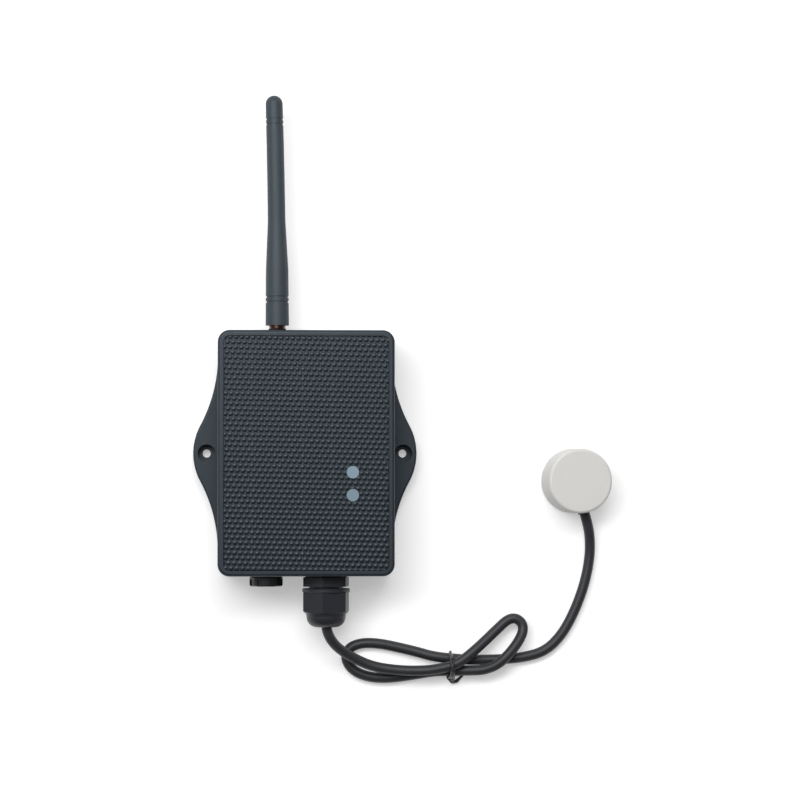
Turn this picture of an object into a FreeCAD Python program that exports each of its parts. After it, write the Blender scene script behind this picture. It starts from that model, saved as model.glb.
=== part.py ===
import FreeCAD
import Part
import math
import os

# Ultrasonic liquid level sensor: a wall housing with a solar front, a rubber aerial, a cable gland
# and a sensing head on a cable. Millimetres. X to the right, Y towards the aerial, Z out of the front.
# Origin: midway between the two wall-screw holes, on the back face that lies on the wall.

# Housing
body_width = 78.0
body_height = 108.5
body_depth = 34.0
corner_radius = 5.3
wall = 2.4
case_depth = 27.5
case_floor = 2.4
seam_gap = 0.3
part_gap = 0.3
least_corner = 0.3
back_edge_round = 0.8
front_edge_round = 1.3

# Wall ears
ear_span = 100.0
ear_thickness = 10.0
ear_tip_radius = 26.4
ear_end_inset = 10.55
ear_edge_round = 0.9
wall_hole_inset = 6.0
wall_hole_radius = 1.8
counterbore_radius = 4.0
counterbore_depth = 6.0

# Closing screws, their pillars in the case and their bosses on the cover
screw_inset = 6.0
pillar_radius = 4.2
pillar_height = 17.3
boss_radius = 3.3
screw_radius = 1.45
screw_hole_radius = 1.7
screw_head_radius = 2.8
screw_head_height = 2.2
screw_head_depth = 3.6
screw_recess_radius = 3.1
screw_length = 18.5
socket_radius = 1.15
socket_depth = 1.3
insert_radius = 2.1
insert_length = 5.6
screw_hole_end_gap = 1.0

# Cover seal
gasket_width = 1.2
gasket_groove_depth = 1.0
tongue_thickness = 1.2
tongue_length = 2.0
tongue_clearance = 0.2

# Solar front
rim = 2.5
panel_recess = 2.0
cover_plate = 2.0
panel_clearance = 0.25
adhesive_thickness = 0.2
adhesive_margin = 1.0
laminate_thickness = 0.9
cell_thickness = 0.25
cell_count = 4
cell_margin = 2.2
cell_gap = 0.8
short_cell_row = 2
short_cell_end = 11.4

# Small domes moulded into the panel's front in staggered rows, which lie a little turned in the frame
dome_radius = 1.1
dome_height = 0.32
dome_pitch = 2.49
dome_row_pitch = 2.26
dome_turn = -1.2
dome_row_drift = 0.027
dome_shift = (-0.15, 0.7)
dome_edge_gap = 0.15
dome_hole_gap = 0.1

# Indicator window and push button
dot_x = 20.5
led_y = -8.4
button_y = -18.5
dot_radius = 2.75
window_fit = 0.05
button_fit = 0.15
dot_clearance = 0.2
flange_radius = 3.8
flange_thickness = 1.0
button_flange_thickness = 0.8
button_travel = 0.6
button_rest_gap = 0.3

# Main board and what stands on it
board_width = 54.0
board_end_gap = 1.45
board_thickness = 1.6
board_standoff = 4.8
board_screw_inset = 3.5
board_boss_radius = 2.75
board_screw_radius = 1.2
board_hole_radius = 1.35
board_screw_head_radius = 2.3
board_screw_head_height = 1.5
board_screw_length = 5.6
led_size = (3.2, 2.8, 1.9)
led_gap = 0.3
light_pipe_radius = 2.0
switch_size = 6.0
switch_height = 2.4
plunger_radius = 1.6
plunger_fit = 0.15
plunger_length = 1.8
plunger_seat = 1.0
plunger_end_gap = 0.2
radio_size = (16.0, 24.0, 1.0)
radio_shield = (14.0, 15.0, 2.2)
radio_x = 14.0
radio_inset = 6.5
shield_margin = 1.0
radio_socket_inset = (2.6, 3.0)
coax_socket_radius = 1.3
coax_socket_height = 1.2
processor_size = (9.0, 9.0, 1.1)
processor_place = (-12.0, 8.0)
terminal_size = (10.0, 8.0, 9.6)
terminal_inset = 1.0
capacitor_radius = 4.0
capacitor_height = 11.5
capacitor_x = 18.0
capacitor_inset = 22.0
connector_size = (7.5, 6.0, 5.8)
connector_x = -21.5
connector_inset = 13.0

# Battery cell in its cradle
cell_radius = 9.15
cell_length = 65.0
battery_x = -8.0
battery_end_gap = 6.45
cradle_floor = 1.2
cradle_wall = 1.8
cradle_height = 8.6
cradle_fit = 0.2
strap_width = 12.0
strap_thickness = 0.5
tab_thickness = 0.4
tab_width = 6.0
lead_radius = 0.65

# Ports through the end walls share one height above the back
port_height = 17.0
port_fit = 0.1

# Aerial and its jack
aerial_x = -12.58
jack_radius = 3.175
jack_reach = 8.2
jack_flange = 8.0
jack_flange_thickness = 2.0
jack_tail_radius = 2.0
jack_tail_length = 4.4
jack_bore_depth = 5.0
jack_seal_radius = 4.2
jack_seal_thickness = 0.5
jack_nut_size = 7.6
jack_nut_thickness = 0.8
running_fit = 0.07
spin_gap = 0.3
collar_radius = 3.65
collar_lip = 1.1
collar_length = 10.2
collar_roof = 2.0
pin_radius = 0.5
pin_reach = 2.5
insulator_wall = 0.8
sheath_length = 102.6
sheath_base_radius = 5.2
sheath_skirt_radius = 5.0
sheath_skirt_length = 25.0
sheath_cone_length = 21.5
sheath_waist_radius = 3.92
sheath_tip_radius = 3.82
sheath_bow = 1.6
groove_depth = 0.28
groove_width = 0.8
groove_pitch = 2.25
base_groove_place = 11.5
tip_groove_place = 90.8
radiator_radius = 1.2
radiator_length = 84.0
pigtail_radius = 0.7

# Cable gland
gland_x = 9.2
gland_thread_radius = 7.6
gland_hex = 19.0
gland_hex_length = 4.1
gland_turn = 9.5
gland_gasket_thickness = 0.8
gland_gasket_radius = 9.2
gland_thread_length = 7.8
gland_bore_radius = 4.6
gland_tail_length = 1.4
locknut_size = 18.0
locknut_thickness = 5.0
nut_gap = 0.85
nut_hex_length = 11.2
nut_shoulder_radius = 9.05
nut_dome_radius = 8.7
nut_dome_length = 6.1
nut_dome_round = 4.9
nut_mouth_radius = 4.0
nut_mouth_length = 4.2
nut_lip = 0.4
nut_ring_radius = 10.6
nut_ring_length = 1.8
nut_ring_bevel = 0.3
nut_front_bevel = 1.2
seal_nose_radius = 3.6
seal_cone_length = 2.0

# Breather plug
vent_x = -17.45
vent_radius = 7.45
vent_cap_length = 4.0
vent_edge_round = 0.9
vent_seal_thickness = 0.8
vent_seal_radius = 7.0
vent_thread_radius = 5.9
vent_tail_length = 1.5
vent_nut_size = 15.0
vent_nut_thickness = 3.0
vent_slots = 8
vent_slot_width = 2.4
vent_slot_depth = 0.7
vent_slot_end_gap = 0.8
vent_face_thickness = 1.4
vent_port_inset = 0.2
vent_bore_radius = 2.2
vent_port_radius = 0.8
membrane_radius = 3.4
membrane_thickness = 0.5

# Sensing head, which lies tipped on its edge beside the housing
head_x = 120.95
head_y = -12.3
head_radius = 14.5
head_height = 17.0
head_tilt = 7.0
head_wall = 2.0
head_face_round = 1.3
head_foot_round = 0.6
face_plate_thickness = 1.6
piezo_radius = 9.0
piezo_thickness = 2.0
backing_height = 6.0
entry_angle = -73.0
entry_height = 5.0
grommet_radius = 2.9
grommet_proud = 0.5
grommet_depth = 2.9
head_tail_end = 10.4

# Cable: its diameter and its route on the surface that the housing lies on, from the gland's seal,
# through the tie, round a loop to the right, back through the tie, round a loop to the left, through
# the tie again and on to the head. It leaves the gland and meets the head in a straight run.
cable_radius = 2.3
cable_start = 2.9
gland_straight = 3.7
head_straight = 5.8
lead_in_route = [
    (11.6, -83.5, 15.6), (15.8, -87.8, 12.0), (22.5, -92.0, 8.9), (30.6, -95.5, 7.5),
    (40.5, -97.05, 7.4), (50.0, -97.45, 7.9), (58.5, -96.9, 8.6)]
hank_route = [
    (68.2, -94.5, 8.9), (74.2, -90.0, 8.6), (80.3, -84.7, 7.2), (86.1, -79.3, 5.8), (91.1, -74.7, 4.9),
    (94.8, -73.9, 4.8), (97.8, -76.1, 4.8), (98.4, -79.6, 5.2), (96.2, -84.2, 6.8), (91.9, -89.7, 8.4),
    (86.5, -94.9, 7.8), (80.2, -97.3, 6.2), (74.5, -97.45, 5.5), (69.0, -97.65, 4.1),
    (58.5, -97.8, 3.55), (52.0, -98.95, 2.7), (43.0, -100.35, 2.35), (35.6, -101.0, 2.35),
    (28.2, -100.3, 2.35), (21.8, -97.6, 2.35), (18.3, -92.6, 2.35), (19.6, -87.4, 2.35),
    (25.6, -85.0, 2.35), (34.0, -85.4, 2.35), (42.5, -87.25, 2.35), (50.5, -89.15, 2.6),
    (58.5, -91.45, 3.55)]
lead_out_route = [
    (72.0, -92.7, 3.55), (80.5, -92.9, 2.4), (89.5, -92.6, 2.35), (98.9, -91.8, 2.35), (108.5, -89.1, 2.35),
    (116.0, -81.8, 2.35), (121.7, -71.4, 2.35), (126.2, -59.4, 2.35), (128.6, -48.0, 2.4),
    (128.8, -39.2, 3.4)]
arc_share = 0.45
hank_end = 1.2
same_fold = 14.0

# Wire tie round the three passes of the cable
tie_x = 65.5
tie_radius = 0.55
tie_fit = 0.1
tie_under = (-92.1, 3.6)
tie_beside = (-97.7, 3.9)
tie_over = (-95.25, 8.8)
tie_over_spread = 0.3
tie_short_end = (64.9, -102.8, 0.8)
tie_bent_end = [
    (66.0, -101.7, 2.2), (67.0, -103.5, 0.8), (69.3, -101.8, 0.75), (70.9, -98.7, 0.8), (68.6, -97.7, 0.75)]

# Derived places
half_width = body_width / 2
half_height = body_height / 2
ear_root = half_height - ear_end_inset
inner_width = body_width - 2 * wall
inner_height = body_height - 2 * wall
inner_corner = max(corner_radius - wall, least_corner)
inner_end = inner_height / 2
cover_foot = case_depth + seam_gap
tongue_foot = max(cover_foot - tongue_length, port_height + locknut_size / 2 + part_gap)
recess_floor = body_depth - panel_recess
plate_under = recess_floor - cover_plate
board_top = plate_under - board_standoff
board_under = board_top - board_thickness
pillar_top = case_floor + pillar_height
boss_foot = pillar_top + seam_gap
screw_x = half_width - screw_inset
screw_y = half_height - screw_inset
laminate_foot = recess_floor + adhesive_thickness
panel_top = laminate_foot + laminate_thickness
panel_width = body_width - 2 * rim - 2 * panel_clearance
panel_height = body_height - 2 * rim - 2 * panel_clearance
panel_corner = max(corner_radius - rim - panel_clearance, least_corner)
battery_z = case_floor + cradle_floor + cradle_fit + cell_radius
gland_end = -half_height - gland_gasket_thickness - gland_hex_length
nut_start = gland_end - nut_gap
nut_hex_end = nut_start - nut_hex_length
nut_end = nut_hex_end - nut_dome_length
cable_exit = nut_end + cable_start
gland_inner_end = -inner_end + locknut_thickness + gland_tail_length
jack_tail_end = inner_end - jack_flange_thickness - jack_tail_length
board_low = gland_inner_end + board_end_gap
board_high = jack_tail_end - board_end_gap
terminal_face = board_low + terminal_inset
radio_y = board_high - radio_inset - radio_size[1] / 2
capacitor_y = board_low + capacitor_inset
cell_high = jack_tail_end - battery_end_gap
cell_low = cell_high - cell_length
battery_y = (cell_low + cell_high) / 2
connector_y = cell_high - connector_inset


def at(x, y, z):
    return FreeCAD.Vector(x, y, z)


ORIGIN = at(0, 0, 0)
ALONG_X = at(1, 0, 0)
ALONG_Y = at(0, 1, 0)
UP = at(0, 0, 1)


def block(x0, x1, y0, y1, z0, z1):
    return Part.makeBox(x1 - x0, y1 - y0, z1 - z0, at(x0, y0, z0))


def centred_block(size, x, y, z0):
    return block(x - size[0] / 2, x + size[0] / 2, y - size[1] / 2, y + size[1] / 2, z0, z0 + size[2])


def post(radius, x, y, z0, z1):
    """An upright round post."""
    return Part.makeCylinder(radius, z1 - z0, at(x, y, z0), UP)


def bar(radius, x, z, y0, y1):
    """A round bar that runs along Y."""
    return Part.makeCylinder(radius, abs(y1 - y0), at(x, min(y0, y1), z), ALONG_Y)


def tube(outer, inner, x, z, y0, y1):
    """A round tube that runs along Y."""
    return bar(outer, x, z, y0, y1).cut(bar(inner, x, z, y0, y1))


def hexagon(across_flats, x, z, y0, y1, turn=0.0):
    """A hexagonal bar along Y, its corners starting at an angle above +X."""
    reach = across_flats / 2 / math.cos(math.radians(30))
    corners = []
    for i in range(7):
        angle = math.radians(60 * i + turn)
        corners.append(at(x + reach * math.cos(angle), min(y0, y1), z + reach * math.sin(angle)))
    face = Part.Face(Part.makePolygon(corners))
    return face.extrude(at(0, abs(y1 - y0), 0))


def plate(width, height, radius, z0, z1):
    """A plate with rounded corners, centred on the Z axis."""
    x = width / 2
    y = height / 2
    k = radius * (1 - math.sqrt(0.5))
    points = [
        (-x + radius, -y), (x - radius, -y), (x - k, -y + k), (x, -y + radius),
        (x, y - radius), (x - k, y - k), (x - radius, y), (-x + radius, y),
        (-x + k, y - k), (-x, y - radius), (-x, -y + radius), (-x + k, -y + k)]
    corner = [at(px, py, z0) for px, py in points]
    corner.append(corner[0])
    edges = []
    for i in range(0, 12, 3):
        edges.append(Part.LineSegment(corner[i], corner[i + 1]).toShape())
        edges.append(Part.Arc(corner[i + 1], corner[i + 2], corner[i + 3]).toShape())
    return Part.Face(Part.Wire(edges)).extrude(at(0, 0, z1 - z0))


def frame_ring(width, height, radius, thickness, z0, z1):
    """A rectangular ring of one wall thickness."""
    inner_radius = max(radius - thickness, least_corner)
    inner = plate(width - 2 * thickness, height - 2 * thickness, inner_radius, z0, z1)
    return plate(width, height, radius, z0, z1).cut(inner)


def edges_at_height(shape, z):
    found = []
    for edge in shape.Edges:
        box = edge.BoundBox
        if abs(box.ZMin - z) < 1e-6 and abs(box.ZMax - z) < 1e-6:
            found.append(edge)
    return found


def joined(shapes):
    whole = shapes[0]
    for other in shapes[1:]:
        whole = whole.fuse(other)
    return whole.removeSplitter()


def corners_of(x, y):
    return [(-x, -y), (x, -y), (x, y), (-x, y)]


def turned(outline):
    """Revolve a closed outline of (radius, y) pairs about the Y axis through the origin."""
    points = [at(r, y, 0) for r, y in outline]
    points.append(points[0])
    return Part.Face(Part.makePolygon(points)).revolve(ORIGIN, ALONG_Y, 360)


def moved(shape, x, y, z):
    copy = shape.copy()
    copy.translate(at(x, y, z))
    return copy


def polyline_path(points):
    """Straight runs joined by tangent arcs, each as large as its two runs allow.

    Returns the edges and the list of arc radii.
    """
    edges = []
    radii = []
    start = points[0]
    for before, corner, after in zip(points, points[1:], points[2:]):
        back = before - corner
        ahead = after - corner
        reach = arc_share * min(back.Length, ahead.Length)
        back.normalize()
        ahead.normalize()
        half_turn = (math.pi - back.getAngle(ahead)) / 2
        radius = reach / math.tan(half_turn)
        radii.append(radius)
        arc_from = corner + back * reach
        arc_to = corner + ahead * reach
        inward = back + ahead
        inward.normalize()
        arc_mid = corner + inward * (radius / math.cos(half_turn) - radius)
        edges.append(Part.LineSegment(start, arc_from).toShape())
        edges.append(Part.Arc(arc_from, arc_mid, arc_to).toShape())
        start = arc_to
    edges.append(Part.LineSegment(start, points[-1]).toShape())
    return edges, radii


def swept(edges, radius):
    """A round solid along a chain of edges."""
    spine = Part.Wire(edges)
    first = edges[0]
    direction = first.tangentAt(first.FirstParameter)
    section = Part.Wire(Part.makeCircle(radius, first.valueAt(first.FirstParameter), direction))
    return spine.makePipeShell([section], True, False)


def wire(points, radius):
    return swept(polyline_path([at(*p) for p in points])[0], radius)


pieces = {}


def keep(name, shape):
    pieces[name] = shape


# Rear case: a box with two ears, open to the front

def ear(side):
    """One wall ear: a round tip that flares back until it runs along the side of the box."""
    tip_centre = ear_span / 2 - ear_tip_radius
    side_x = half_width - tip_centre
    reach = ear_span / 2 - half_width
    flare_radius = (side_x ** 2 + ear_root ** 2 - ear_tip_radius ** 2) / (2 * reach)
    flare_x = half_width + flare_radius
    angle = math.asin(ear_root / (ear_tip_radius + flare_radius))
    tangent_x = tip_centre + ear_tip_radius * math.cos(angle)
    tangent_y = ear_tip_radius * math.sin(angle)
    middle_x = flare_x - flare_radius * math.cos(angle / 2)
    middle_y = ear_root - flare_radius * math.sin(angle / 2)
    root_x = half_width - wall / 2
    outline = [
        Part.LineSegment(at(root_x, -ear_root, 0), at(half_width, -ear_root, 0)),
        Part.Arc(at(half_width, -ear_root, 0), at(middle_x, -middle_y, 0), at(tangent_x, -tangent_y, 0)),
        Part.Arc(at(tangent_x, -tangent_y, 0), at(ear_span / 2, 0, 0), at(tangent_x, tangent_y, 0)),
        Part.Arc(at(tangent_x, tangent_y, 0), at(middle_x, middle_y, 0), at(half_width, ear_root, 0)),
        Part.LineSegment(at(half_width, ear_root, 0), at(root_x, ear_root, 0)),
        Part.LineSegment(at(root_x, ear_root, 0), at(root_x, -ear_root, 0))]
    solid = Part.Face(Part.Wire([piece.toShape() for piece in outline])).extrude(at(0, 0, ear_thickness))
    free_edges = []
    for level in (0, ear_thickness):
        for edge in edges_at_height(solid, level):
            if edge.Curve.TypeId == "Part::GeomCircle":
                free_edges.append(edge)
    solid = solid.makeFillet(ear_edge_round, free_edges)
    if side < 0:
        solid = solid.mirror(ORIGIN, ALONG_X)
    return solid


def rear_case():
    shell = plate(body_width, body_height, corner_radius, 0, case_depth)
    shell = shell.makeFillet(back_edge_round, edges_at_height(shell, 0))
    shell = joined([shell, ear(1), ear(-1)])
    shell = shell.cut(plate(inner_width, inner_height, inner_corner, case_floor, case_depth))
    pillars = []
    for x, y in corners_of(screw_x, screw_y):
        pillars.append(post(pillar_radius, x, y, case_floor / 2, pillar_top))
    inside = plate(body_width - wall, body_height - wall, corner_radius - wall / 2, 0, case_depth)
    pillars = [pillar.common(inside) for pillar in pillars]
    shell = joined([shell] + pillars)
    cuts = []
    for x, y in corners_of(screw_x, screw_y):
        cuts.append(post(screw_hole_radius, x, y, 0, pillar_top))
        cuts.append(post(screw_recess_radius, x, y, 0, screw_head_depth + screw_head_height))
    for side in (-1, 1):
        hole_x = side * (ear_span / 2 - wall_hole_inset)
        cuts.append(post(wall_hole_radius, hole_x, 0, 0, ear_thickness))
        cuts.append(post(counterbore_radius, hole_x, 0, ear_thickness - counterbore_depth, ear_thickness))
    groove_inset = (wall - gasket_width) / 2
    cuts.append(frame_ring(
        body_width - 2 * groove_inset, body_height - 2 * groove_inset, corner_radius - groove_inset,
        gasket_width, case_depth - gasket_groove_depth, case_depth))
    cuts.append(bar(jack_radius + port_fit, aerial_x, port_height, inner_end, half_height))
    cuts.append(bar(gland_thread_radius + port_fit, gland_x, port_height, -half_height, -inner_end))
    cuts.append(bar(vent_thread_radius + port_fit, vent_x, port_height, -half_height, -inner_end))
    for tool in cuts:
        shell = shell.cut(tool)
    return shell


def cover_gasket():
    inset = (wall - gasket_width) / 2
    return frame_ring(
        body_width - 2 * inset, body_height - 2 * inset, corner_radius - inset,
        gasket_width, case_depth - gasket_groove_depth, cover_foot)


keep("rear_case", rear_case())
keep("cover_gasket", cover_gasket())


# Front cover: a rim round the solar panel, a tongue inside the case, bosses for the screws

def front_cover():
    cover = plate(body_width, body_height, corner_radius, cover_foot, body_depth)
    cover = cover.makeFillet(front_edge_round, edges_at_height(cover, body_depth))
    tongue_gap = wall + tongue_clearance
    tongue_width = body_width - 2 * tongue_gap
    tongue_height = body_height - 2 * tongue_gap
    tongue_corner = max(corner_radius - tongue_gap, least_corner)
    hollow_inset = tongue_gap + tongue_thickness
    hollow = plate(
        body_width - 2 * hollow_inset, body_height - 2 * hollow_inset,
        max(tongue_corner - tongue_thickness, least_corner), cover_foot, plate_under)
    cover = cover.cut(hollow)
    tongue = frame_ring(
        tongue_width, tongue_height, tongue_corner, tongue_thickness, tongue_foot, cover_foot)
    solids = [cover, tongue]
    for x, y in corners_of(screw_x, screw_y):
        solids.append(post(boss_radius, x, y, boss_foot, plate_under))
    for x, y in board_screw_places():
        solids.append(post(board_boss_radius, x, y, board_top, plate_under))
    cover = joined(solids)
    window_width = body_width - 2 * rim
    window_height = body_height - 2 * rim
    window_corner = max(corner_radius - rim, least_corner)
    cuts = [plate(window_width, window_height, window_corner, recess_floor, body_depth)]
    for x, y in corners_of(screw_x, screw_y):
        cuts.append(post(insert_radius, x, y, boss_foot, boss_foot + insert_length))
        cuts.append(post(screw_hole_radius, x, y, boss_foot, boss_foot + insert_length + screw_hole_end_gap))
    for x, y in board_screw_places():
        cuts.append(post(board_screw_radius, x, y, board_top, board_under + board_screw_length))
    cuts.append(post(dot_radius + window_fit, dot_x, led_y, plate_under, recess_floor))
    cuts.append(post(dot_radius + button_fit, dot_x, button_y, plate_under, recess_floor))
    for tool in cuts:
        cover = cover.cut(tool)
    return cover


def board_screw_places():
    x = board_width / 2 - board_screw_inset
    low = board_low + board_screw_inset
    high = board_high - board_screw_inset
    return [(-x, low), (x, low), (x, high), (-x, high)]


def cover_inserts():
    rings = []
    for x, y in corners_of(screw_x, screw_y):
        ring = post(insert_radius, x, y, boss_foot, boss_foot + insert_length)
        rings.append(ring.cut(post(screw_radius, x, y, boss_foot, boss_foot + insert_length)))
    return Part.makeCompound(rings)


def case_screws():
    screws = []
    for x, y in corners_of(screw_x, screw_y):
        head_under = screw_head_depth + screw_head_height
        head = post(screw_head_radius, x, y, screw_head_depth, head_under)
        head = head.cut(post(socket_radius, x, y, screw_head_depth, screw_head_depth + socket_depth))
        shank = post(screw_radius, x, y, head_under, head_under + screw_length)
        screws.append(joined([head, shank]))
    return Part.makeCompound(screws)


keep("front_cover", front_cover())
keep("cover_inserts", cover_inserts())
keep("case_screws", case_screws())


# Solar panel: adhesive film, four cells, a moulded clear front over them

def dot_holes(radius, z0, z1):
    return [post(radius, dot_x, led_y, z0, z1), post(radius, dot_x, button_y, z0, z1)]


def cell_boxes():
    """The four cells, top row first; one is short so that the two dots fall beside it."""
    pitch = (panel_height - 2 * cell_margin + cell_gap) / cell_count
    cells = []
    for row in range(cell_count):
        top = panel_height / 2 - cell_margin - row * pitch
        right = panel_width / 2 - cell_margin
        if row == short_cell_row:
            right = short_cell_end
        cells.append(block(
            -panel_width / 2 + cell_margin, right, top - pitch + cell_gap, top,
            laminate_foot, laminate_foot + cell_thickness))
    return cells


def panel_adhesive():
    film = plate(
        panel_width - 2 * adhesive_margin, panel_height - 2 * adhesive_margin, panel_corner,
        recess_floor, laminate_foot)
    for hole in dot_holes(dot_radius + dot_clearance, recess_floor, laminate_foot):
        film = film.cut(hole)
    return film


def dome_places():
    """The domes' centres: staggered rows, clear of the panel's edge and of the two round holes."""
    places = []
    turn = math.radians(dome_turn)
    reach = math.hypot(panel_width, panel_height) / 2
    rows = int(reach / dome_row_pitch)
    columns = int(reach / dome_pitch)
    far_x = panel_width / 2 - dome_edge_gap - dome_radius
    far_y = panel_height / 2 - dome_edge_gap - dome_radius
    least = dot_radius + dot_clearance + dome_hole_gap + dome_radius
    for row in range(-rows, rows + 1):
        for column in range(-columns, columns + 1):
            along = (column + 0.5 * (row % 2)) * dome_pitch + row * dome_row_drift + dome_shift[0]
            up = row * dome_row_pitch + dome_shift[1]
            x = along * math.cos(turn) - up * math.sin(turn)
            y = along * math.sin(turn) + up * math.cos(turn)
            clear = min(math.hypot(x - dot_x, y - led_y), math.hypot(x - dot_x, y - button_y))
            if abs(x) < far_x and abs(y) < far_y and clear > least:
                places.append((x, y))
    return places


def dome_face():
    """The round face of one dome, its foot centred on the origin."""
    ball = (dome_radius ** 2 + dome_height ** 2) / (2 * dome_height)
    foot_angle = math.degrees(math.asin(1 - dome_height / ball))
    solid = Part.makeSphere(ball, at(0, 0, dome_height - ball), UP, foot_angle, 90, 360)
    return [face for face in solid.Faces if face.Surface.TypeId == "Part::GeomSphere"][0]


def domed(sheet):
    """The sheet with its top face holed under each dome and the domes' round faces in the holes."""
    top = [face for face in sheet.Faces if abs(face.CenterOfMass.z - panel_top) < 1e-6][0]
    others = [face for face in sheet.Faces if abs(face.CenterOfMass.z - panel_top) > 1e-6]
    one = dome_face()
    domes = []
    feet = []
    for x, y in dome_places():
        dome = moved(one, x, y, panel_top)
        domes.append(dome)
        for edge in dome.Edges:
            if not edge.Degenerated and edge.Closed and edge.Curve.TypeId == "Part::GeomCircle":
                foot = Part.Wire([edge])
                foot.reverse()
                feet.append(foot)
    top.cutHoles(feet)
    print("domes on the panel", len(domes), "share of its front", round(1 - top.Area / (
        panel_width * panel_height), 3))
    return Part.makeSolid(Part.makeShell(others + [top] + domes))


def solar_laminate():
    sheet = plate(panel_width, panel_height, panel_corner, laminate_foot, panel_top)
    for tool in cell_boxes() + dot_holes(dot_radius + dot_clearance, laminate_foot, panel_top):
        sheet = sheet.cut(tool)
    return domed(sheet)


keep("panel_adhesive", panel_adhesive())
keep("solar_cells", Part.makeCompound(cell_boxes()))
keep("solar_laminate", solar_laminate())


# Indicator window over the LED, push button over the switch

def led_window():
    flange_foot = plate_under - flange_thickness
    pipe_foot = board_top + led_size[2] + led_gap
    return joined([
        post(dot_radius, dot_x, led_y, plate_under, panel_top),
        post(flange_radius, dot_x, led_y, flange_foot, plate_under),
        post(light_pipe_radius, dot_x, led_y, pipe_foot, flange_foot)])


def switch_top():
    return board_top + switch_height


def plunger_foot():
    return switch_top() - plunger_seat


def button_cap():
    flange_top = plate_under - button_rest_gap
    flange_foot = flange_top - button_flange_thickness
    return joined([
        post(dot_radius, dot_x, button_y, flange_top, panel_top),
        post(flange_radius, dot_x, button_y, flange_foot, flange_top),
        post(light_pipe_radius, dot_x, button_y, plunger_foot() + plunger_length, flange_foot)])


def tact_switch():
    housing = centred_block((switch_size, switch_size, switch_height), dot_x, button_y, board_top)
    well_foot = plunger_foot() - button_travel - plunger_end_gap
    return housing.cut(post(plunger_radius + plunger_fit, dot_x, button_y, well_foot, switch_top()))


keep("led_window", led_window())
keep("button_cap", button_cap())
keep("tact_switch", tact_switch())
keep("switch_plunger", post(plunger_radius, dot_x, button_y, plunger_foot(), plunger_foot() + plunger_length))
keep("status_led", centred_block(led_size, dot_x, led_y, board_top))


# Main board, hung from the cover, with its parts on both sides

def main_board():
    board = block(-board_width / 2, board_width / 2, board_low, board_high, board_under, board_top)
    for x, y in board_screw_places():
        board = board.cut(post(board_hole_radius, x, y, board_under, board_top))
    return board


def board_screws():
    screws = []
    for x, y in board_screw_places():
        head = post(board_screw_head_radius, x, y, board_under - board_screw_head_height, board_under)
        shank = post(board_screw_radius, x, y, board_under, board_under + board_screw_length)
        screws.append(joined([head, shank]))
    return Part.makeCompound(screws)


def radio_module():
    base = centred_block(radio_size, radio_x, radio_y, board_under - radio_size[2])
    shield_y = radio_y - (radio_size[1] - radio_shield[1]) / 2 + shield_margin
    shield = centred_block(radio_shield, radio_x, shield_y, board_under - radio_size[2] - radio_shield[2])
    return joined([base, shield])


def radio_socket_place():
    left = radio_x - radio_size[0] / 2
    top = radio_y + radio_size[1] / 2
    return left + radio_socket_inset[0], top - radio_socket_inset[1]


def coax_socket():
    x, y = radio_socket_place()
    top = board_under - radio_size[2]
    return post(coax_socket_radius, x, y, top - coax_socket_height, top)


def terminal_block():
    y = terminal_face + terminal_size[1] / 2
    return centred_block(terminal_size, gland_x, y, board_under - terminal_size[2])


keep("main_board", main_board())
keep("board_screws", board_screws())
keep("radio_module", radio_module())
keep("coax_socket", coax_socket())
keep("processor", centred_block(processor_size, processor_place[0], processor_place[1], board_top))
keep("terminal_block", terminal_block())
keep("capacitor", post(
    capacitor_radius, capacitor_x, capacitor_y, board_under - capacitor_height, board_under))
keep("battery_connector", centred_block(
    connector_size, connector_x, connector_y, board_under - connector_size[2]))


# Battery cell in a cradle on the case floor, under a strap

def battery_cradle():
    half = cell_radius + cradle_fit + cradle_wall
    low = cell_low - tab_thickness
    high = cell_high + tab_thickness
    trough = block(
        battery_x - half, battery_x + half, low - cradle_wall, high + cradle_wall,
        case_floor, case_floor + cradle_height)
    return trough.cut(bar(cell_radius + cradle_fit, battery_x, battery_z, low, high))


def battery_strap():
    low = battery_y - strap_width / 2
    high = battery_y + strap_width / 2
    outer = cell_radius + strap_thickness
    cradle_side = cell_radius + cradle_fit + cradle_wall
    arch = tube(outer, cell_radius, battery_x, battery_z, low, high)
    cradle_top = case_floor + cradle_height
    strap_foot = cradle_top + strap_thickness
    arch = arch.cut(block(battery_x - outer, battery_x + outer, low, high, 0, cradle_top))
    feet = []
    for side in (-1, 1):
        x0 = battery_x + side * (cell_radius + cradle_fit)
        x1 = battery_x + side * (cradle_side + strap_thickness)
        feet.append(block(min(x0, x1), max(x0, x1), low, high, cradle_top, strap_foot))
        x2 = battery_x + side * cradle_side
        feet.append(block(min(x1, x2), max(x1, x2), low, high, case_floor, strap_foot))
    return joined([arch] + feet)


def battery_tabs():
    half = tab_width / 2
    foot = battery_z - half
    top = battery_z + half
    return Part.makeCompound([
        block(battery_x - half, battery_x + half, cell_low - tab_thickness, cell_low, foot, top),
        block(battery_x - half, battery_x + half, cell_high, cell_high + tab_thickness, foot, top)])


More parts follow.
